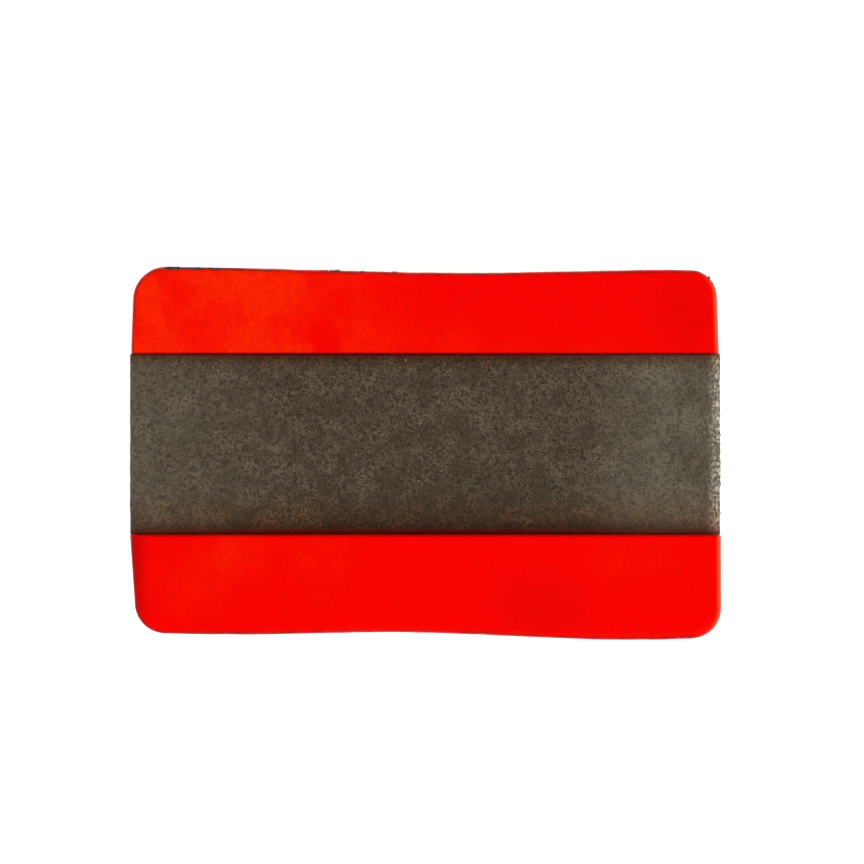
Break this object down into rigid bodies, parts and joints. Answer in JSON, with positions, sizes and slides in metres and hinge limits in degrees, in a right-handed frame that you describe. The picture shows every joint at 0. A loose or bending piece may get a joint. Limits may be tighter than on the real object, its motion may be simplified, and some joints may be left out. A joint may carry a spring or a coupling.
{
  "type": "welding magnet holder",
  "caption": "Block-type welding magnet holder: red-coated steel pole plates clamped either side of a recessed ferrite core, holding steel work against their flat pole faces.",
  "frame": {"origin": "centre of the block's bounding box, on the surface that the lower pole faces rest on", "axes": "+X along the block's length, +Y towards the rear plate that holds the screw heads, +Z out of the upper pole faces"},
  "size_m": [0.0504, 0.0316, 0.025],
  "materials": {
    "pole_plate_coat": "satin red powder coat, thin at the edges",
    "ferrite": "sintered and ground, fine grain, unglazed",
    "spacer": "sawn and milled",
    "bond_resin": "cured resin",
    "screw": "plain stainless steel"
  },
  "bodies": {
    "root": {"front_pole_plate": "pole_plate_coat", "rear_pole_plate": "pole_plate_coat", "upper_ferrite_bar": "ferrite", "lower_ferrite_bar": "ferrite", "spacer_bar": "spacer", "upper_bed_film": "bond_resin", "lower_bed_film": "bond_resin", "upper_front_bond_film": "bond_resin", "upper_rear_bond_film": "bond_resin", "lower_front_bond_film": "bond_resin", "lower_rear_bond_film": "bond_resin", "clamp_screw_1": "screw", "clamp_screw_2": "screw", "clamp_screw_3": "screw"}
  },
  "joints": []
}
